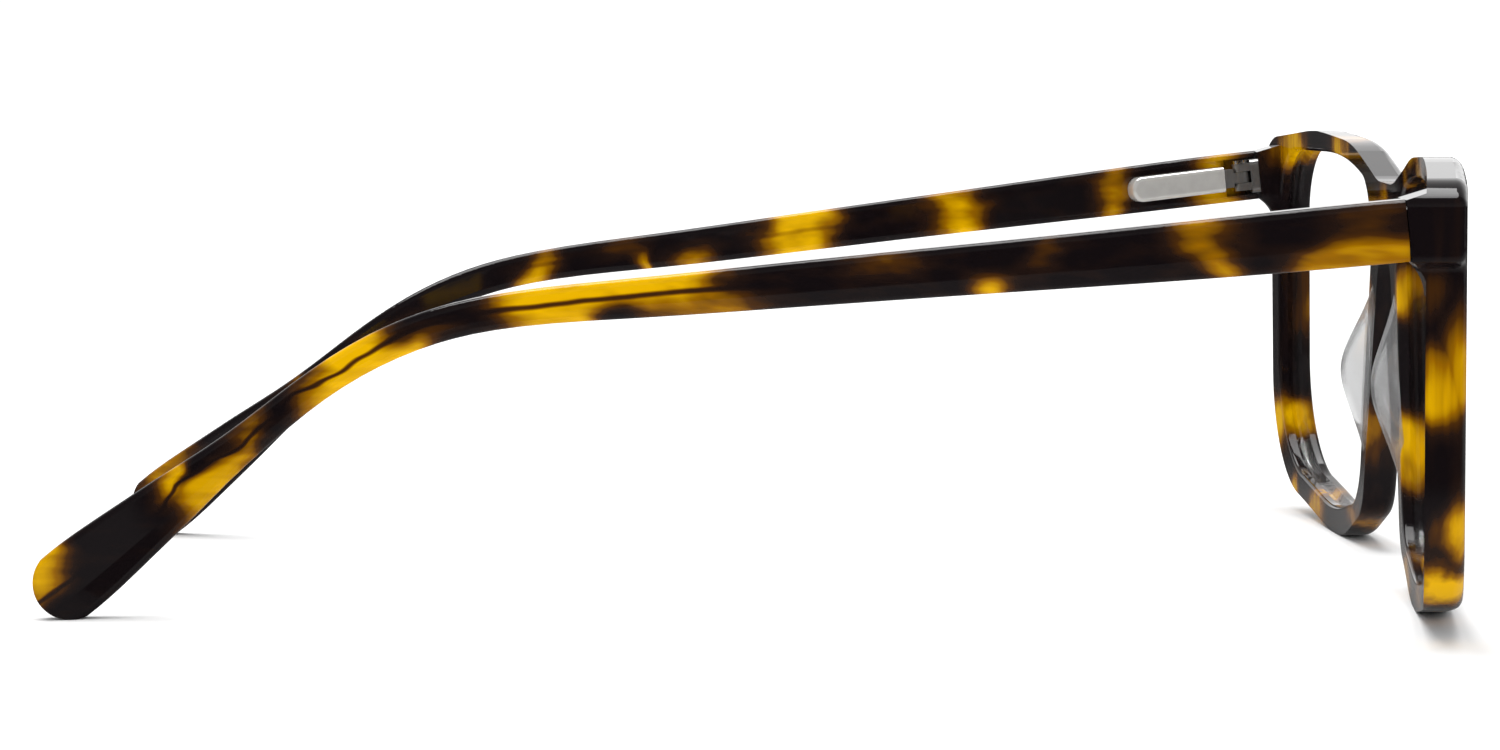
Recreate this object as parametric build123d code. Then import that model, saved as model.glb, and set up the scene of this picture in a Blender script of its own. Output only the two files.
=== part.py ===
from build123d import *
from math import atan2, cos, radians, sin, sqrt
import os

os.makedirs("parts", exist_ok=True)

# Everything is laid out in the joint frame: +X to the wearer's left, -Y to the front,
# Z up from the table, and Y = 0 at the joint between the front and the temples.
# The finished pieces are moved so that the origin is under the middle of the whole.

# Lens openings, seen from the front
lens_width = 55.2
lens_height = 41.2
bridge_gap = 17.6
opening_x_shares = (0.0, 0.384, 1.0, 0.98, 0.47, 0.174)
opening_z_shares = (0.915, 1.0, 0.985, 0.09, 0.0, 0.063)
opening_radii = (8.0, 120.0, 8.0, 14.0, 40.0, 8.0)

# Front rim
front_depth = 3.8
wrap_radius = 465.0
front_reach = 10.6
top_bar = 2.2
bottom_bar = 2.6
temporal_bar = 2.7
nasal_bar = 2.8
brow_inner = 16.0
brow_outer = 18.0
brow_drop = 0.8
shoulder = 3.0
shoulder_drop = 1.5
foot_outer = 26.4
foot_inner = 10.1
temporal_foot_rise = 4.2
nasal_foot_rise = 4.4
front_round = 1.1
opening_round = 0.35
back_round = 0.35
outline_radii = (24.0, 60.0, 90.0, 8.0, 1.2, 1.2, 0.8, 14.5, 28.0, 24.0, 6.0, 20.0, 4.2)

# Bridge
bridge_drop = 4.4
bridge_height = 8.0
bridge_flat = 6.0
bridge_arch = 4.4
bridge_flank = 7.0
bridge_flank_drop = 5.6

# Endpiece, the lug at each side that carries the hinge
endpiece_reach = 5.5
endpiece_overhang = 2.3
endpiece_inner = 0.6
neck_rise = 0.8
under_slope_run = 2.2
under_slope_drop = 3.5
joint_drop = 6.05
joint_gap = 0.1

# Lens
lens_thickness = 1.8
lens_bevel = 0.6
lens_face_inset = 0.12
lens_seat = 0.05

# Nose pads, bonded behind the nasal bars
pad_length = 31.0
pad_bulge = 3.8
pad_thickness = 2.6
pad_height = 20.5
pad_round = 0.9
pad_lean = 18.0
pad_splay = 22.0
pad_root = 1.0
pad_sink = 0.7
pad_inset = 1.6

# Temple, measured along its centre line
temple_tilt = 6.0
temple_toe_in = 14.5
temple_straight = 84.0
bend_radius = 45.0
bend_angle = 32.5
bow_start_share = 0.604
bow_shares = (0.374, 1.234, -1.185)
temple_height = 5.75
temple_thickness = 3.5
tip_radius = 3.8
station_shares = (-0.05, 0.0, 0.2, 0.43, 0.66, 0.87, 1.0)
height_shares = (1.01, 1.02, 0.985, 0.875, 0.785, 0.69, 0.625)
bend_height_shares = (0.6, 0.58, 0.57)
tail_shares = (0.15, 0.35, 0.55, 0.75, 0.9, 1.05, 1.2)
tail_height_shares = (0.6, 0.71, 0.93, 1.12, 1.25, 1.27, 1.27)
thin_share = 0.76
ridge_share = 0.17
bevel_depth = 0.75
bevel_end_depth = 0.15
edge_round = 0.7
ridge_round = 0.3

# Core wire inside the temple
wire_radius = 0.6
wire_fit = 0.04
wire_lead = 3.0
wire_end_wall = 7.0
wire_depth_share = 0.55
wire_gap = 0.15

# Hinge: the leaf on the front and the pin axis behind it
pin_inset = 4.7
pin_setback = 2.1
knuckle_radius = 1.0
screw_radius = 0.55
pin_clearance = 0.05
eye_height = 1.3
knuckle_height = 0.9
knuckle_gap = 0.05
leaf_width = 2.6
leaf_height = 4.0
leaf_thickness = 1.0
leaf_round = 0.6
anchor_radius = 0.55
anchor_length = 2.2
anchor_spread = 2.2
anchor_fit = 0.02
screw_head_radius = 0.9
screw_head_height = 0.4
screw_slot_width = 0.25
screw_slot_depth = 0.22
notch_clearance = 0.9
notch_margin = 0.25
notch_end = 1.9

# Sprung half of the hinge, along the temple from the pin axis
case_start = 2.5
case_length = 11.7
case_height = 3.0
case_inboard = 1.25
case_outboard = 2.0
case_round = 0.5
case_end_round = 1.4
case_fit = 0.02
tongue_start = 1.15
tongue_end = 4.6
tongue_height = 2.2
tongue_width = 1.4
tongue_fit = 0.04
chamber_radius = 0.8
chamber_start = 6.2
chamber_end_wall = 1.0
rod_radius = 0.3
retainer_length = 0.8
cap_length = 0.6
cap_back_gap = 0.2
spring_wire_radius = 0.11
spring_radius = 0.55
spring_turns = 8
inner_fit = 0.03

overrun = 20.0

# Values that follow from the sizes above
half_gap = bridge_gap / 2
front_height = bottom_bar + lens_height + top_bar
joint_height = front_height - joint_drop
lens_outer = half_gap + lens_width
half_width = lens_outer + endpiece_reach
tilt = radians(temple_tilt)
joint_top = joint_height + temple_height / 2 * cos(tilt)
joint_bottom = joint_height - temple_height / 2 * cos(tilt)
joint_lean = temple_height / 2 * sin(tilt)
bend_run = bend_radius * radians(bend_angle)
case_end = case_start + case_length
chamber_end = case_end - chamber_end_wall
rod_end = chamber_end - cap_back_gap
pin_height = joint_height - pin_setback * sin(tilt)


def mirrored(shape):
    """The same piece on the wearer's right."""
    return mirror(shape, about=Plane.YZ)


# Front


def opening_points():
    """Corners of the left lens opening, clockwise from the top beside the bridge."""
    pairs = zip(opening_x_shares, opening_z_shares)
    return [(half_gap + x * lens_width, bottom_bar + z * lens_height) for x, z in pairs]


def half_outline_points():
    """Corners of the left half of the front, from the bridge's top round to its underside."""
    corner = opening_points()
    bridge_top = front_height - bridge_drop
    arch = bridge_top - bridge_height
    return [
        (bridge_flat, bridge_top),
        (half_gap + brow_inner, front_height - brow_drop),
        (lens_outer - brow_outer, front_height),
        (lens_outer + shoulder, front_height - shoulder_drop),
        (half_width, joint_top),
        (half_width, joint_bottom),
        (half_width - endpiece_overhang, joint_bottom - neck_rise),
        (corner[3][0] + temporal_bar, temporal_foot_rise),
        (corner[3][0] - foot_outer, 0),
        (corner[5][0] + foot_inner, 0),
        (corner[5][0] - nasal_bar, nasal_foot_rise),
        (bridge_flank, arch - bridge_flank_drop),
        (bridge_arch, arch),
    ]


def prism(points, radii, start, end):
    """Solid over an outline in the XZ plane, from one Y to another, with rounded corners."""
    outline = FilletPolyline(*[(x, 0, z) for x, z in points], radius=list(radii), close=True)
    face = make_face(outline.edges())
    return extrude(Pos(0, start, 0) * face, end - start, dir=(0, 1, 0))


def behind(outer_face):
    """Everything behind an upright curved wall that crosses the centre line at the given Y."""
    return Pos(0, outer_face + wrap_radius, 0) * Cylinder(
        wrap_radius, 3 * front_height, align=(Align.CENTER, Align.CENTER, Align.CENTER)
    )


def curved_wall(outer_face, thickness):
    """Upright wall of even thickness, curved round the head."""
    axis = Pos(0, outer_face + wrap_radius, 0)
    return behind(outer_face) - axis * Cylinder(wrap_radius - thickness, 3 * front_height)


def depth_of(point):
    """How far a point lies behind the front's outer face."""
    return wrap_radius - sqrt(point.X**2 + (point.Y + front_reach - wrap_radius) ** 2)


def edges_at_depth(solid, depth):
    """Edges that run along the curved face at one depth."""
    found = []
    for edge in solid.edges():
        depths = [depth_of(edge.position_at(share)) for share in (0, 0.5, 1)]
        if max(abs(each - depth) for each in depths) < lens_seat / 5:
            found.append(edge)
    return found


def make_lens(fit):
    """Left lens with its bevelled edge; a negative fit makes the cutter for its groove."""
    bevel = lens_bevel - fit
    thick = lens_thickness - 2 * fit
    start = (front_depth - thick) / 2
    flat = prism(opening_points(), opening_radii, -2 * front_reach, 0).faces().sort_by(Axis.Y)[0]
    wide = offset(flat, amount=bevel, kind=Kind.INTERSECTION)
    body = extrude(wide, 3 * front_reach, dir=(0, 1, 0)) & curved_wall(start - front_reach, thick)
    rims = edges_at_depth(body, start) + edges_at_depth(body, start + thick)
    return chamfer(rims, bevel + lens_face_inset)


def make_lug():
    """Endpiece behind the front's outline, ending at the leaning joint."""
    below = joint_bottom - under_slope_drop
    radius = (under_slope_run**2 + under_slope_drop**2) / (2 * under_slope_run)
    turn = atan2(under_slope_drop, radius - under_slope_run) / 2
    middle = (0, radius - under_slope_run - radius * cos(turn), below + radius * sin(turn))
    top = Polyline(
        (0, -joint_lean, joint_bottom),
        (0, joint_lean, joint_top),
        (0, -front_reach / 2, front_height - shoulder_drop),
        (0, -front_reach / 2, below),
        (0, -under_slope_run, below),
    )
    curve = ThreePointArc((0, -under_slope_run, below), middle, (0, -joint_lean, joint_bottom))
    side = make_face(top.edges() + curve.edges())
    inner = lens_outer - endpiece_inner
    return extrude(Pos(inner, 0, 0) * side, half_width - inner, dir=(1, 0, 0))


def pierced_faces(solid):
    """The curved front and back faces, each with two openings, front one first."""
    return solid.faces().filter_by(lambda face: len(face.inner_wires()) == 2).sort_by(Axis.Y)


def opening_edges(face):
    """Edges of the openings in a face."""
    return [edge for wire in face.inner_wires() for edge in wire.edges()]


def make_front():
    half = half_outline_points()
    points = half + [(-x, z) for x, z in reversed(half)]
    radii = list(outline_radii) + list(reversed(outline_radii))
    slab = prism(points, radii, -2 * front_reach, 2 * front_reach)
    hole = prism(opening_points(), opening_radii, -2 * front_reach, 2 * front_reach)
    rim = slab & curved_wall(-front_reach, front_depth)
    rim = rim - hole - mirrored(hole)
    rim = fillet(opening_edges(pierced_faces(rim)[-1]), back_round)
    lug = (make_lug() & slab & behind(-front_reach)) - hole
    rim = rim + lug + mirrored(lug)
    rim = fillet(pierced_faces(rim)[0].outer_wire().edges(), front_round)
    rim = fillet(opening_edges(pierced_faces(rim)[0]), opening_round)
    groove = make_lens(-lens_seat)
    anchors = hinge_frame() * make_anchors(anchor_fit)
    for cutter in (groove, anchors):
        rim = rim - cutter - mirrored(cutter)
    return rim


def make_pad():
    """Left nose pad: a bulged plate that leans along the nasal bar and splays backwards."""
    half = pad_length / 2
    down = (0, 0, -1)
    rear = Spline((0, 0, half), (0, pad_bulge, 0), (0, 0, -half), tangents=[down, down])
    root = Polyline((0, 0, -half), (0, -pad_root, -half), (0, -pad_root, half), (0, 0, half))
    plate = extrude(make_face(rear.edges() + root.edges()), pad_thickness / 2, dir=(1, 0, 0), both=True)
    plate = fillet(plate.edges().filter_by(GeomType.BSPLINE), pad_round)
    corner = opening_points()
    lean = (pad_height - nasal_foot_rise) * sin(radians(pad_lean))
    x = corner[5][0] - nasal_bar - lean + pad_inset
    y = front_depth - front_reach - pad_sink
    return Pos(x, y, pad_height) * Rot(0, -pad_lean, 0) * Rot(0, 0, -pad_splay) * plate


# Hinge


def hinge_frame():
    """Pin axis of the left hinge: Z along the pin, Y back along the temple's slope."""
    return Pos(half_width - pin_inset, pin_setback * cos(tilt), pin_height) * Rot(-temple_tilt, 0, 0)


def sprung_frame():
    """The left hinge frame turned in plan, with Y along the sprung half of the hinge."""
    return hinge_frame() * Rot(0, 0, temple_toe_in)


def bar(radius, start, end):
    """Round bar along Y."""
    return Pos(0, start, 0) * Rot(-90, 0, 0) * Cylinder(
        radius, end - start, align=(Align.CENTER, Align.CENTER, Align.MIN)
    )


def block(low, high):
    """Box between two corners."""
    size = [b - a for a, b in zip(low, high)]
    middle = [(a + b) / 2 for a, b in zip(low, high)]
    return Pos(*middle) * Box(*size)


def make_anchors(fit):
    """Studs in front of the leaf that hold it in the endpiece."""
    start = -pin_setback - anchor_length
    stud = bar(anchor_radius + fit, start, -pin_setback + fit)
    return Pos(0, 0, anchor_spread / 2) * stud + Pos(0, 0, -anchor_spread / 2) * stud


def make_leaf():
    """Front half of the hinge: a plate with two knuckles and two anchors."""
    front = -pin_setback
    half = leaf_width / 2
    plate = block((-half, front, -leaf_height / 2), (half, front + leaf_thickness, leaf_height / 2))
    plate = fillet(plate.edges().filter_by(Axis.Y), leaf_round)
    leaf = plate + make_anchors(0)
    level = eye_height / 2 + knuckle_gap
    for low in (level, -level - knuckle_height):
        high = low + knuckle_height
        web = block((-knuckle_radius, front, low), (knuckle_radius, 0, high))
        round_end = Pos(0, 0, (low + high) / 2) * Cylinder(knuckle_radius, knuckle_height)
        leaf = leaf + web + round_end
    return leaf - Cylinder(screw_radius + pin_clearance, 2 * leaf_height)


def make_screw():
    """Hinge screw with a slotted head above the top knuckle."""
    top = eye_height / 2 + knuckle_gap + knuckle_height
    shaft = Cylinder(screw_radius, 2 * top)
    head_height = screw_head_height
    head = Pos(0, 0, top + inner_fit + head_height / 2) * Cylinder(screw_head_radius, head_height)
    neck = Pos(0, 0, top) * Cylinder(screw_radius, 2 * inner_fit)
    slot = Pos(0, 0, top + inner_fit + head_height) * Box(
        2 * screw_head_radius, screw_slot_width, 2 * screw_slot_depth
    )
    return shaft + neck + head - slot


def make_slider():
    """Sliding half of the hinge: an eye on the screw, a tongue in the case, and its rod."""
    half_width_of_tongue = tongue_width / 2
    eye = Cylinder(knuckle_radius, eye_height)
    neck = block(
        (-half_width_of_tongue, 0, -eye_height / 2),
        (half_width_of_tongue, tongue_start + inner_fit, eye_height / 2),
    )
    tongue = block(
        (-half_width_of_tongue, tongue_start, -tongue_height / 2),
        (half_width_of_tongue, tongue_end, tongue_height / 2),
    )
    rod = bar(rod_radius, tongue_end - inner_fit, rod_end)
    return eye + neck + tongue + rod - Cylinder(screw_radius + pin_clearance, 2 * eye_height)


def case_body(fit):
    """Outer shape of the spring case, with a round back end."""
    low = (-case_inboard - fit, case_start - fit, -case_height / 2 - fit)
    high = (case_outboard + fit, case_end + fit, case_height / 2 + fit)
    body = block(low, high)
    back = body.edges().filter_by(Axis.X).group_by(Axis.Y)[-1]
    body = fillet(back, case_end_round)
    inboard = body.faces().sort_by(Axis.X)[0].edges().filter_by(lambda edge: edge.center().Y > case_start)
    return fillet(inboard, case_round)


def make_case():
    """Spring case on the temple's inner face, bored for the tongue, rod and spring."""
    half = tongue_width / 2 + tongue_fit
    tall = tongue_height / 2 + tongue_fit
    mouth = block((-half, case_start - overrun, -tall), (half, chamber_start, tall))
    return case_body(0) - mouth - bar(chamber_radius, chamber_start - inner_fit, chamber_end)


def make_retainer():
    """Fixed ring that the spring is pushed against; the rod slides through it."""
    ring = bar(chamber_radius - inner_fit, chamber_start, chamber_start + retainer_length)
    return ring - bar(rod_radius + tongue_fit, chamber_start - overrun, case_end)


def make_cap():
    """Cap riveted on the rod's end, which squeezes the spring as the tongue is pulled out."""
    cap = bar(chamber_radius - 2 * tongue_fit, rod_end - cap_length, rod_end)
    return cap - bar(rod_radius + inner_fit, 0, case_end)


def make_spring():
    """Compression spring round the rod, between the retainer and the cap."""
    start = chamber_start + retainer_length + inner_fit + spring_wire_radius
    end = rod_end - cap_length - inner_fit - spring_wire_radius
    path = Helix(pitch=(end - start) / spring_turns, height=end - start, radius=spring_radius)
    section = Plane(origin=path @ 0, z_dir=path % 0) * Circle(spring_wire_radius)
    coil = sweep(section, path=path, is_frenet=True)
    return Pos(0, start, 0) * Rot(-90, 0, 0) * coil


# Temple


def path_point(run):
    """Depth, height and slope of the temple's centre line, a run behind the joint."""
    if run < temple_straight:
        return run - pin_setback, 0, 0
    turn = min(run - temple_straight, bend_run) / bend_radius
    y = temple_straight - pin_setback + bend_radius * sin(turn)
    z = -bend_radius * (1 - cos(turn))
    rest = max(run - temple_straight - bend_run, 0)
    return y + rest * cos(turn), z - rest * sin(turn), turn


def tail_length():
    """Run from the bend to the centre of the round tip, which rests on the table."""
    y, z, turn = path_point(temple_straight + bend_run)
    height = pin_height - y * sin(tilt) + z * cos(tilt)
    return (height - tip_radius) / sin(turn + tilt)


def outer_x(y):
    """Outer face of the left temple in the hinge frame, at a distance behind the pin."""
    share = (y + pin_setback) / (temple_straight / bow_start_share)
    inset = sum(bow * share ** (power + 1) for power, bow in enumerate(bow_shares))
    return pin_inset - inset * half_width


def stations():
    """Runs along the temple and its height there, as pairs."""
    pairs = [
        (share * temple_straight, height * temple_height)
        for share, height in zip(station_shares, height_shares)
    ]
    steps = len(bend_height_shares)
    for step, height in enumerate(bend_height_shares, start=1):
        pairs.append((temple_straight + bend_run * step / steps, height * temple_height))
    start = temple_straight + bend_run
    for share, height in zip(tail_shares, tail_height_shares):
        pairs.append((start + share * tail_length(), height * temple_height))
    return pairs


def straight_share(run):
    """How far along the straight part a run is, from 0 to 1."""
    return min(max(run / temple_straight, 0), 1)


def thickness_at(run):
    """Thickness of the temple, which thins towards the bend."""
    return temple_thickness * (1 - (1 - thin_share) * straight_share(run))


def section_plane(run):
    """Plane across the temple, with its X to the left and its Y up."""
    y, z, turn = path_point(run)
    return Plane(origin=(0, y, z), x_dir=(1, 0, 0), z_dir=(0, -cos(turn), sin(turn)))


def temple_section(run, height):
    """Five-sided section: flat inside, with a ridge and a lower bevel outside."""
    outer = outer_x(path_point(run)[0])
    inner = outer - thickness_at(run)
    bevel = bevel_depth + (bevel_end_depth - bevel_depth) * straight_share(run) ** 2
    points = [
        (outer, height / 2),
        (outer, -ridge_share * height),
        (outer - bevel, -height / 2),
        (inner, -height / 2),
        (inner, height / 2),
    ]
    radii = [edge_round, ridge_round, edge_round, edge_round, edge_round]
    outline = FilletPolyline(*points, radius=radii, close=True)
    return section_plane(run) * make_face(outline.edges())


def wire_line():
    """Middle line of the core wire, from behind the spring case to near the tip."""
    turn = radians(temple_toe_in)
    start = case_end * cos(turn) + case_outboard * sin(turn) + pin_setback + wire_gap
    end = temple_straight + bend_run + tail_length() + tip_radius - wire_end_wall
    middle = [run for run, height in stations() if wire_end_wall < run - start < end - start]
    points = []
    for run in [start] + middle + [end]:
        y, z, turn = path_point(run)
        points.append((outer_x(y) - wire_depth_share * thickness_at(run), y, z))
    return Spline(*points)


def wire_disc(line, fit):
    """Round section at the front end of the core wire's line."""
    return Plane(origin=line @ 0, z_dir=line % 0) * Circle(wire_radius + fit)


def make_wire():
    line = wire_line()
    return sweep(wire_disc(line, 0), path=line)


def wire_channel():
    """Channel of the core wire, open to the seat of the spring case."""
    line = wire_line()
    disc = wire_disc(line, wire_fit)
    return sweep(disc, path=line) + extrude(disc, -wire_lead)


def make_temple():
    """Left temple in the hinge frame, cut for the joint, the hinge and the core wire."""
    temple = loft([temple_section(run, height) for run, height in stations()])
    wide = 2 * half_width
    ahead = block((-wide, -overrun, -overrun), (wide, joint_gap - pin_setback, overrun))
    y, z, turn = path_point(temple_straight + bend_run + tail_length())
    disc = Rot(0, 90, 0) * Cylinder(tip_radius, 2 * wide)
    beyond = block((-wide, 0, -overrun), (wide, overrun, overrun)) - disc
    temple = temple - ahead - Pos(0, y, z) * Rot(-bend_angle, 0, 0) * beyond
    tall = leaf_height / 2 + notch_margin
    notch = block((-wide, -overrun, -tall), (leaf_width / 2 + notch_clearance, notch_end, tall))
    seat = Rot(0, 0, temple_toe_in) * case_body(case_fit)
    return temple - notch - seat - wire_channel()


# All the pieces, by node


def make_pieces():
    """Left and right nodes, and the front, in the joint frame."""
    front = make_front()
    hinge = hinge_frame()
    sprung = sprung_frame()
    left = {
        "lens": make_lens(lens_seat),
        "nose_pad": max((make_pad() - front).solids(), key=lambda solid: solid.volume),
        "hinge_leaf": hinge * make_leaf(),
        "hinge_screw": hinge * make_screw(),
        "hinge_slider": sprung * make_slider(),
        "spring_case": sprung * make_case(),
        "spring_retainer": sprung * make_retainer(),
        "spring_cap": sprung * make_cap(),
        "hinge_spring": sprung * make_spring(),
        "temple": hinge * make_temple(),
        "core_wire": hinge * make_wire(),
    }
    pieces = {"front_frame": front}
    for name, shape in left.items():
        pieces[name + "_left"] = shape
        pieces[name + "_right"] = mirrored(shape)
    return pieces


def main():
    pieces = make_pieces()
    boxes = [shape.bounding_box() for shape in pieces.values()]
    front_y = min(box.min.Y for box in boxes)
    back_y = max(box.max.Y for box in boxes)
    to_origin = Pos(0, -(front_y + back_y) / 2, 0)
    for name, shape in pieces.items():
        export_step(to_origin * shape, f"parts/{name}.step")


main()
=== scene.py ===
import math

import bpy
from mathutils import Matrix, Vector

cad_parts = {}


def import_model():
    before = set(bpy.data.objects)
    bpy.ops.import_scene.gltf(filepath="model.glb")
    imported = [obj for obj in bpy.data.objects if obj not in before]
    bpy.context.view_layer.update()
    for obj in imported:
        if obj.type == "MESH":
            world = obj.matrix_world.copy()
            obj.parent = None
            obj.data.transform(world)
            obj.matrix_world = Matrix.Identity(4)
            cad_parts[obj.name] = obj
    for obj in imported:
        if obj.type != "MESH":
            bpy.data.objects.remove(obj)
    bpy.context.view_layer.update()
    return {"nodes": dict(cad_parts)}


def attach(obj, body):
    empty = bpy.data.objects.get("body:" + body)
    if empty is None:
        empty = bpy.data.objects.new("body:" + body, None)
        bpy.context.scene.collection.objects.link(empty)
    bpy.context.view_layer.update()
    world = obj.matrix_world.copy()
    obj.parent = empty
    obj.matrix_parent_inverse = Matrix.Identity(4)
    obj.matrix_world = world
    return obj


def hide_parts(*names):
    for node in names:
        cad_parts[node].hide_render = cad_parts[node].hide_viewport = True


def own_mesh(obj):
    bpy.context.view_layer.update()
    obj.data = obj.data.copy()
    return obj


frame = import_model()

MM = 0.001
# Joint between front and temples, on the frame's Y axis
JOINT_Y = -61.234 * MM

# Node building


class Graph:
    """Small helper that adds and links shader nodes."""

    def __init__(self, tree):
        self.tree = tree
        tree.nodes.clear()

    def add(self, kind, **values):
        node = self.tree.nodes.new(kind)
        for name, value in values.items():
            setattr(node, name, value)
        return node

    def link(self, value, socket):
        if isinstance(value, bpy.types.NodeSocket):
            self.tree.links.new(value, socket)
        elif value is not None:
            socket.default_value = value

    def math(self, operation, first, second=None, clamp=False):
        node = self.add("ShaderNodeMath", operation=operation, use_clamp=clamp)
        self.link(first, node.inputs[0])
        self.link(second, node.inputs[1])
        return node.outputs[0]

    def vector(self, operation, first, second=None):
        node = self.add("ShaderNodeVectorMath", operation=operation)
        self.link(first, node.inputs[0])
        self.link(second, node.inputs[1])
        return node.outputs["Value" if operation == "LENGTH" else "Vector"]

    def split(self, vector):
        node = self.add("ShaderNodeSeparateXYZ")
        self.link(vector, node.inputs[0])
        return node.outputs

    def ramp(self, value, stops, interpolation="EASE"):
        node = self.add("ShaderNodeValToRGB")
        band = node.color_ramp
        band.interpolation = interpolation
        while len(band.elements) < len(stops):
            band.elements.new(0.5)
        for element, (place, shade) in zip(band.elements, stops):
            element.position = place
            shade = (shade,) * 3 if isinstance(shade, (int, float)) else shade
            element.color = (*shade, 1)
        self.link(value, node.inputs[0])
        return node.outputs[0]

    def curve(self, value, points):
        node = self.add("ShaderNodeFloatCurve")
        knots = node.mapping.curves[0].points
        while len(knots) < len(points):
            knots.new(0.5, 0.5)
        for knot, place in zip(knots, points):
            knot.location = place
        node.mapping.update()
        self.link(value, node.inputs["Value"])
        return node.outputs[0]

    def smooth(self, value, low, high, out_low=0.0, out_high=1.0):
        node = self.add("ShaderNodeMapRange", interpolation_type="SMOOTHSTEP")
        names = ("From Min", "From Max", "To Min", "To Max")
        for name, number in zip(names, (low, high, out_low, out_high)):
            self.link(number, node.inputs[name])
        self.link(value, node.inputs["Value"])
        return node.outputs["Result"]

    def noise(self, vector, scale=1.0, detail=2.0, output="Fac"):
        node = self.add("ShaderNodeTexNoise")
        self.link(vector, node.inputs["Vector"])
        node.inputs["Scale"].default_value = scale
        node.inputs["Detail"].default_value = detail
        return node.outputs[output]

    def mix(self, factor, first, second):
        node = self.add("ShaderNodeMix", data_type="RGBA")
        self.link(factor, node.inputs[0])
        self.link(first, node.inputs[6])
        self.link(second, node.inputs[7])
        return node.outputs[2]

    def shader_mix(self, factor, first, second):
        node = self.add("ShaderNodeMixShader")
        for value, socket in zip((factor, first, second), node.inputs):
            self.link(value, socket)
        return node.outputs[0]


def material(name):
    made = bpy.data.materials.new(name)
    made.use_nodes = True
    return made, Graph(made.node_tree)


def object_place(graph):
    return graph.add("ShaderNodeTexCoord").outputs["Object"]


def principled(graph, **values):
    """Principled shader and material output, already linked."""
    shader = graph.add("ShaderNodeBsdfPrincipled").outputs[0]
    for name, value in values.items():
        graph.link(value, shader.node.inputs[name.replace("_", " ")])
    output = graph.add("ShaderNodeOutputMaterial").inputs[0]
    graph.link(shader, output)
    return shader, output


# Tortoiseshell acetate

SHELL_COLOURS = (
    (0.0, (0.0052, 0.0034, 0.0040)),
    (0.22, (0.016, 0.0075, 0.005)),
    (0.44, (0.060, 0.021, 0.003)),
    (0.68, (0.28, 0.115, 0.0)),
    (1.0, (0.78, 0.43, 0.0)),
)
SHELL_GLOSS = {"Roughness": 0.06, "IOR": 1.49, "Specular_IOR_Level": 0.4}
STREAK_STRENGTH = 0.45


def wobbled(graph, place, noise, reach):
    """Place moved each way by up to half the reach, by a coloured noise."""
    wobble = graph.vector("SUBTRACT", noise, (0.5, 0.5, 0.5))
    return graph.vector("ADD", place, graph.vector("MULTIPLY", wobble, reach))


def streaked(graph, amber, place, scales):
    """Amber share with fine streaks, long where the noise scale is small."""
    streaks = graph.noise(graph.vector("MULTIPLY", place, scales))
    streaks = graph.math("SUBTRACT", streaks, 0.5)
    return graph.math("ADD", amber, graph.math("MULTIPLY", streaks, STREAK_STRENGTH))


def finish_shell(graph, amber):
    """Colour and gloss of the acetate for an amber share from 0 to 1."""
    principled(graph, Base_Color=graph.ramp(amber, SHELL_COLOURS, "LINEAR"), **SHELL_GLOSS)


# Temples: places along them are in millimetres behind the joint

TEMPLE_SPAN = 135.0
TEMPLE_LINE_TOP = 50
# Middle line of the temple: a straight run, a bend and a straight tail, with slopes in degrees
LINE_HEIGHT = 39.95
LINE_SLOPE = 6.0
LINE_STRAIGHT = 84.0
LINE_BEND_RADIUS = 45.0
LINE_TAIL_SLOPE = 38.5
LINE_STEPS = 4
# Start, end and strength of the amber clouds above and below the middle line
NEAR_UPPER = (
    (0.5, 7, 0.36), (15.8, 22, 0.72), (31.5, 35, 0.38), (46, 52, 0.45), (63.5, 86.5, 1.0),
    (97, 105.5, 1.0), (108.5, 114, 0.5), (115.5, 120.5, 0.92), (129.6, 134, 0.85),
)
NEAR_LOWER = (
    (-1.5, 10.5, 0.72), (14.8, 19, 0.68), (36, 40.8, 0.92), (59, 66.8, 0.68), (66.8, 71.6, 0.95),
    (75.8, 85.8, 0.92), (91, 106, 0.95), (110, 118.5, 0.88),
)
FAR_UPPER = (
    (2.5, 7.5, 0.84), (15, 20.5, 0.7), (34.5, 41, 0.85), (51.3, 60.5, 1.0), (72, 79, 0.4),
    (84, 87, 0.5), (112, 115, 0.5), (126, 133, 0.72),
)
FAR_LOWER = (
    (2.2, 7.8, 0.86), (16, 20.2, 0.7), (33.5, 41, 0.95), (51.5, 60.5, 0.95), (65.5, 69.5, 0.75),
    (71, 74, 0.85), (83.5, 87.5, 0.86), (100, 104, 0.55), (127, 133, 0.62),
)
# A cloud fades over this length at each end, or over its own length by the divisor if that is less
CLOUD_FADE = 3.0
CLOUD_FADE_DIVISOR = 2.2
SHORT_CLOUD = 8
# Share of the strength that is left where two clouds meet
MEETING_SHARE = 0.5
# Stops in front of the joint are kept up to this share of the span
STOP_MARGIN = -0.03

TEMPLE_NOISE_SCALES = (170, 62, 170)
TEMPLE_WOBBLE = (0.0, 8 * MM, 3.2 * MM)
TEMPLE_STREAK_SCALES = (700, 60, 700)
# Heights about the middle line where the lower clouds give way to the upper ones
CLOUD_SPLIT = (-1.7 * MM, 0.9 * MM)
# Dark line of the core wire: its height, its edges, and the shares of the span where it comes into sight
WIRE_RISE = 0.15 * MM
WIRE_EDGES = (0.05 * MM, 0.42 * MM)
WIRE_START_SHARES = (0.46, 0.34)


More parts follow.
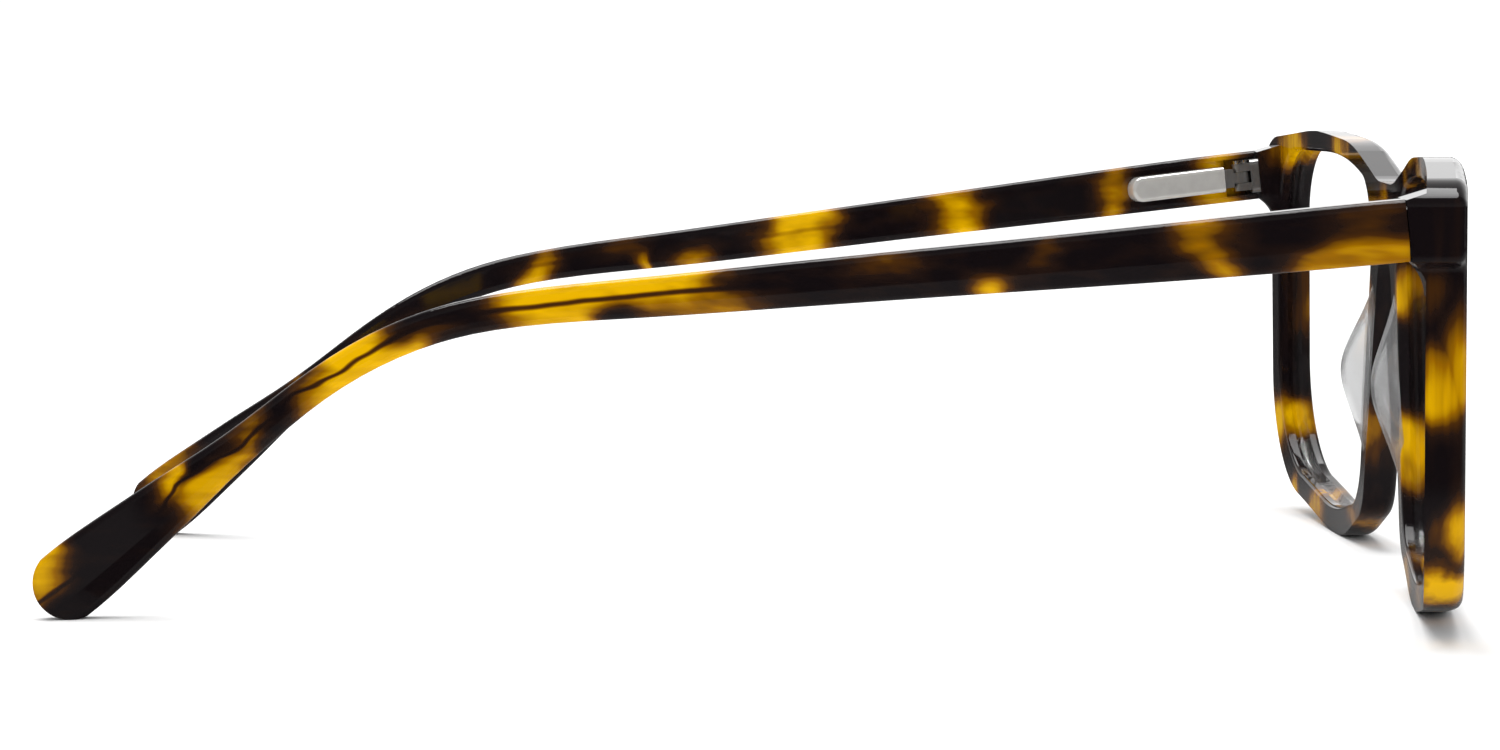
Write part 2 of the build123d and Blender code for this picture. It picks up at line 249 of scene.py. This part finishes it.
def cloud_stops(clouds):
    """Ramp stops along the temple for clouds of (start, end, strength)."""
    stops = [(-1.0, 0.0)]
    for start, end, strength in sorted(clouds):
        fade = min(CLOUD_FADE, (end - start) / CLOUD_FADE_DIVISOR)
        inner = ((start + fade, strength), (end - fade, strength))
        if end - start < SHORT_CLOUD:
            inner = (((start + end) / 2, strength),)
        for place, shade in ((start - fade, 0.0), *inner, (end + fade, 0.0)):
            place = min(place / TEMPLE_SPAN, 1.0)
            last_place, last_shade = stops[-1]
            if place > last_place:
                stops.append((place, shade))
            else:
                stops[-1] = (last_place, max(last_shade, shade) * MEETING_SHARE)
    return [(max(place, 0.0), shade) for place, shade in stops if place > STOP_MARGIN]


def temple_line():
    """Places and heights of the middle line, in even steps along its straight run, bend and tail."""
    slope, tail_slope = math.radians(LINE_SLOPE), math.radians(LINE_TAIL_SLOPE)
    bend_place = LINE_STRAIGHT * math.cos(slope)
    bend_height = LINE_HEIGHT - LINE_STRAIGHT * math.sin(slope)
    shares = [step / LINE_STEPS for step in range(1, LINE_STEPS + 1)]
    points = [(0.0, LINE_HEIGHT)]
    for share in shares:
        points.append((share * bend_place, LINE_HEIGHT + share * (bend_height - LINE_HEIGHT)))
    for share in shares:
        turned = slope + share * (tail_slope - slope)
        across = LINE_BEND_RADIUS * (math.sin(turned) - math.sin(slope))
        down = LINE_BEND_RADIUS * (math.cos(slope) - math.cos(turned))
        points.append((bend_place + across, bend_height - down))
    tail_place, tail_height = points[-1]
    for share in shares:
        run = share * (TEMPLE_SPAN - tail_place)
        points.append((tail_place + run, tail_height - run * math.tan(tail_slope)))
    return points


def temple_material(name, upper, lower, seed, wire_shade):
    """Acetate of a temple, with its clouds and the wire that shows through it."""
    made, graph = material(name)
    place = object_place(graph)
    spread = graph.vector("MULTIPLY", graph.vector("ADD", place, (seed, 0, 0)), TEMPLE_NOISE_SCALES)
    moved = graph.split(wobbled(graph, place, graph.noise(spread, output="Color"), TEMPLE_WOBBLE))
    behind = graph.math("SUBTRACT", moved["Y"], JOINT_Y)
    along = graph.math("DIVIDE", behind, TEMPLE_SPAN * MM, clamp=True)
    line = [(run / TEMPLE_SPAN, height / TEMPLE_LINE_TOP) for run, height in temple_line()]
    middle = graph.math("MULTIPLY", graph.curve(along, line), TEMPLE_LINE_TOP * MM)
    is_upper = graph.smooth(graph.math("SUBTRACT", moved["Z"], middle), *CLOUD_SPLIT)
    top = graph.ramp(along, cloud_stops(upper))
    bottom = graph.ramp(along, cloud_stops(lower))
    amber = streaked(graph, graph.mix(is_upper, bottom, top), place, TEMPLE_STREAK_SCALES)
    rise = graph.math("SUBTRACT", graph.split(place)["Z"], middle)
    wire_gap = graph.math("ABSOLUTE", graph.math("SUBTRACT", rise, WIRE_RISE))
    wire = graph.smooth(wire_gap, *WIRE_EDGES, wire_shade, 1.0)
    wire = graph.math("MAXIMUM", wire, graph.smooth(along, *WIRE_START_SHARES))
    finish_shell(graph, graph.math("MULTIPLY", amber, wire))
    return made


# Amber clouds of the front: centre, half sizes and strength, in millimetres from the joint
FRONT_CLOUDS = (
    ((-66, -2.5, 33.8), (3, 1.6, 2.4), 0.36),
    ((-66, -5.4, 26.6), (4, 2.2, 4.6), 0.8),
    ((-66, -2.8, 24.4), (4, 2.8, 3.6), 0.9),
    ((-66, -6.2, 11.0), (4, 2.2, 3.8), 1.0),
    ((-63, -3.5, 4.6), (6, 8, 3.2), 1.15),
    ((-12.5, -6, 31.3), (3, 5, 2.8), 0.85),
    ((-15.5, -7, 15.0), (3.4, 5, 3.2), 1.0),
    ((-24, -8, 2.0), (5, 5, 2.4), 0.8),
    ((-42, -6, 1.6), (6, 5, 2.2), 0.7),
    ((-38, -6, 45), (7, 5, 2.2), 0.75),
    ((-20, -7, 43), (4, 5, 2.0), 0.6),
    ((0, -8, 38), (3.6, 5, 3), 0.7),
    ((63, -4.3, 30.8), (3, 5, 1.8), 0.6),
    ((63, -5.6, 25.0), (3, 1.4, 3.6), 0.5),
    ((63.5, -4.6, 9.4), (4, 5, 4.0), 1.1),
    ((57, -5, 1.8), (4, 6, 2.4), 0.9),
    ((45, -6, 0.8), (5, 5, 2.4), 0.85),
    ((57, -4, 44.6), (7, 5, 2.8), 0.9),
    ((31, -6, 45.0), (5, 5, 2.6), 0.85),
    ((11, -5.2, 13.0), (5, 4, 4.5), 0.7),
    ((22, -8, 2.0), (5, 5, 2.2), 0.65),
    ((12, -6, 28), (3, 5, 4), 0.7),
)
# Outer and inner edge of a cloud, in half sizes
CLOUD_EDGES = (1.75, 0.3)
FRONT_NOISE_SCALE = 130
FRONT_WOBBLE = (5 * MM, 4 * MM, 8 * MM)
FRONT_STREAK_SCALES = (900, 900, 60)


def front_material():
    made, graph = material("tortoise_front")
    place = object_place(graph)
    noise = graph.noise(place, FRONT_NOISE_SCALE, 1, "Color")
    moved = wobbled(graph, place, noise, FRONT_WOBBLE)
    amber = 0.0
    for (x, y, z), sizes, strength in FRONT_CLOUDS:
        gap = graph.vector("SUBTRACT", moved, (x * MM, y * MM + JOINT_Y, z * MM))
        gap = graph.vector("DIVIDE", gap, tuple(size * MM for size in sizes))
        cloud = graph.smooth(graph.vector("LENGTH", gap), *CLOUD_EDGES, 0.0, strength)
        amber = graph.math("MAXIMUM", amber, cloud)
    finish_shell(graph, streaked(graph, amber, place, FRONT_STREAK_SCALES))
    return made


# Clear and metal materials

CLEAR_IOR = 1.49
# Layer-weight values between which a clear piece turns from face on to edge on
FACING_EDGES = (0.2, 0.9)
METAL_GRAIN_SCALE = 900
METAL_GRAIN_DETAIL = 3
METAL_GRAIN_EDGES = (0.3, 0.7)
METAL_GRAIN_SHADE = 0.93


def clear_material(name, colour, shares, roughness, transmission):
    """Clear plastic or glass: refraction over plain see-through, by its shares face on and edge on."""
    made, graph = material(name)
    shader, output = principled(
        graph,
        Base_Color=(*colour, 1),
        Roughness=roughness,
        IOR=CLEAR_IOR,
        Transmission_Weight=transmission,
    )
    see_through = graph.add("ShaderNodeBsdfTransparent").outputs[0]
    facing = graph.add("ShaderNodeLayerWeight").outputs["Facing"]
    share = graph.smooth(facing, *FACING_EDGES, *shares)
    graph.link(graph.shader_mix(share, see_through, shader), output)
    return made


def metal_material(name, colour, roughness, metallic=1.0):
    """Metal with a fine grain between its colour and a slightly darker one."""
    made, graph = material(name)
    grain = graph.noise(object_place(graph), METAL_GRAIN_SCALE, METAL_GRAIN_DETAIL)
    dark = (*[part * METAL_GRAIN_SHADE for part in colour], 1)
    shade = graph.mix(graph.smooth(grain, *METAL_GRAIN_EDGES), dark, (*colour, 1))
    principled(graph, Base_Color=shade, Metallic=metallic, Roughness=roughness)
    return made


# Finishes by node name, or by node name without its side
finishes = {
    "front_frame": front_material(),
    "temple_right": temple_material("tortoise_right", NEAR_UPPER, NEAR_LOWER, 0.0, 0.4),
    "temple_left": temple_material("tortoise_left", FAR_UPPER, FAR_LOWER, 3.0, 0.85),
    "nose_pad": clear_material("clear_acetate", (0.93, 0.94, 0.95), (0.55, 0.85), 0.2, 0.85),
    "lens": clear_material("lens_clear", (0.98, 0.98, 0.99), (0.05, 0.05), 0.0, 1.0),
    "spring_case": metal_material("polished_case", (0.92, 0.9, 0.86), 0.1, 0.6),
    "hinge_screw": metal_material("polished_screw", (0.86, 0.85, 0.83), 0.15),
}
plain_metal = metal_material("satin_steel", (0.62, 0.61, 0.60), 0.28)

for node_name, node in frame["nodes"].items():
    stem = node_name.rsplit("_", 1)[0]
    chosen = finishes.get(node_name) or finishes.get(stem) or plain_metal
    node.data.materials.clear()
    node.data.materials.append(chosen)

# Springs of the hinges


def squeeze_spring(side):
    """Copy of the hinge spring with its own mesh, hung on the arm's body in place of the hidden spring
    node.
    """
    node = frame["nodes"][f"hinge_spring_{side}"]
    spring = bpy.data.objects.new(f"squeezed_spring_{side}", node.data.copy())
    bpy.context.scene.collection.objects.link(spring)
    spring.matrix_world = node.matrix_world
    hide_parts(node.name)
    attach(spring, f"arm_{side}")
    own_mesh(spring)


for side in ("left", "right"):
    squeeze_spring(side)

# Stage: floor, lights, world and camera

FLOOR_SIZE = (2.6, 2.4, 1)
FLOOR_PLACE = (0.68, 0, 0)
FLOOR_COLOUR = (0.9, 0.9, 0.9, 1)
FLOOR_ROUGHNESS = 0.9
# Distance from the middle, and the share of the floor that reflections see through there
FLOOR_FADE = (0.05, 0.13, 0.8, 1.0)

SUN_TOWARDS = (0.25, 0.1, 1.0)
SUN_STRENGTH = 2.6
SUN_ANGLE = 50

# Reflected brightness by direction, each as from, to, and the brightness at both
WALL_BY_X = (-0.1, 0.95, 0.2, 1.25)
DOME_BY_Z = (0.75, 0.1, 0.4, 1.0)
HORIZON_BY_Z = (0.012, 0.044, 0.06, 1.0)
BACKDROP_LEVEL = 1.05
DIFFUSE_LEVEL = 0.8

# Camera place in millimetres from the joint, its angles in degrees, and its focal length
CAMERA_PLACE = (-506.0, 59.66, 62.17)
CAMERA_YAW = 0.2
CAMERA_PITCH = 4.63
CAMERA_ROLL = -0.25
FOCAL_PIXELS = 4712
PHOTO_PIXELS = 1500
SENSOR_WIDTH = 36
CLIP_START = 0.01


def floor():
    """White floor, of which reflections see little near the glasses and nothing farther out."""
    bpy.ops.mesh.primitive_plane_add(size=1)
    ground = bpy.context.object
    ground.name = "floor"
    ground.scale = FLOOR_SIZE
    ground.location = FLOOR_PLACE
    made, graph = material("floor_white")
    shader, output = principled(
        graph,
        Base_Color=FLOOR_COLOUR,
        Roughness=FLOOR_ROUGHNESS,
        Specular_IOR_Level=0.0,
    )
    place = graph.split(graph.add("ShaderNodeNewGeometry").outputs["Position"])
    away = graph.smooth(graph.math("ABSOLUTE", place["X"]), *FLOOR_FADE)
    reflected = graph.add("ShaderNodeLightPath").outputs["Is Glossy Ray"]
    share = graph.math("MULTIPLY", reflected, away)
    see_through = graph.add("ShaderNodeBsdfTransparent").outputs[0]
    graph.link(graph.shader_mix(share, shader, see_through), output)
    ground.data.materials.append(made)


def sun_light():
    """Even light from above, as from a large softbox."""
    data = bpy.data.lights.new("top", "SUN")
    data.energy = SUN_STRENGTH
    data.angle = math.radians(SUN_ANGLE)
    lamp = bpy.data.objects.new("top", data)
    bpy.context.scene.collection.objects.link(lamp)
    lamp.rotation_mode = "QUATERNION"
    lamp.rotation_quaternion = (-Vector(SUN_TOWARDS)).to_track_quat("-Z", "Y")


def world():
    """White surroundings. In reflections they are bright behind the glasses, and dim in front and below."""
    made = bpy.data.worlds.new("studio")
    bpy.context.scene.world = made
    made.use_nodes = True
    graph = Graph(made.node_tree)
    towards = graph.split(graph.add("ShaderNodeTexCoord").outputs["Generated"])
    wall = graph.smooth(towards["X"], *WALL_BY_X)
    dome = graph.smooth(towards["Z"], *DOME_BY_Z)
    dome = graph.math("MULTIPLY", dome, graph.smooth(towards["Z"], *HORIZON_BY_Z))
    rays = graph.add("ShaderNodeLightPath").outputs
    plain = graph.smooth(rays["Is Diffuse Ray"], 0.0, 1.0, BACKDROP_LEVEL, DIFFUSE_LEVEL)
    level = graph.add("ShaderNodeMix", data_type="FLOAT")
    graph.link(rays["Is Glossy Ray"], level.inputs[0])
    graph.link(plain, level.inputs[2])
    graph.link(graph.math("MULTIPLY", wall, dome), level.inputs[3])
    shade = graph.add("ShaderNodeBackground")
    shade.inputs[0].default_value = (1, 1, 1, 1)
    graph.link(level.outputs[0], shade.inputs[1])
    output = graph.add("ShaderNodeOutputWorld")
    graph.link(shade.outputs[0], output.inputs[0])


def camera():
    """Camera at the right of the glasses, level with the lenses, in the photograph's place."""
    yaw, pitch, roll = (math.radians(angle) for angle in (CAMERA_YAW, CAMERA_PITCH, CAMERA_ROLL))
    forward = Vector((math.cos(yaw) * math.cos(pitch), math.sin(yaw) * math.cos(pitch), -math.sin(pitch)))
    right = Vector((math.sin(yaw), -math.cos(yaw), 0))
    up = right.cross(forward)
    turned_right = right * math.cos(roll) + up * math.sin(roll)
    turned_up = up * math.cos(roll) - right * math.sin(roll)
    data = bpy.data.cameras.new("camera")
    data.sensor_width = SENSOR_WIDTH
    data.lens = FOCAL_PIXELS / PHOTO_PIXELS * SENSOR_WIDTH
    data.clip_start = CLIP_START
    view = bpy.data.objects.new("camera", data)
    bpy.context.scene.collection.objects.link(view)
    x, y, z = CAMERA_PLACE
    place = Vector((x * MM, y * MM + JOINT_Y, z * MM))
    axes = Matrix((turned_right, turned_up, -forward)).transposed()
    view.matrix_world = Matrix.Translation(place) @ axes.to_4x4()
    bpy.context.scene.camera = view


floor()
sun_light()
world()
camera()
bpy.context.scene.view_settings.view_transform = "Standard"
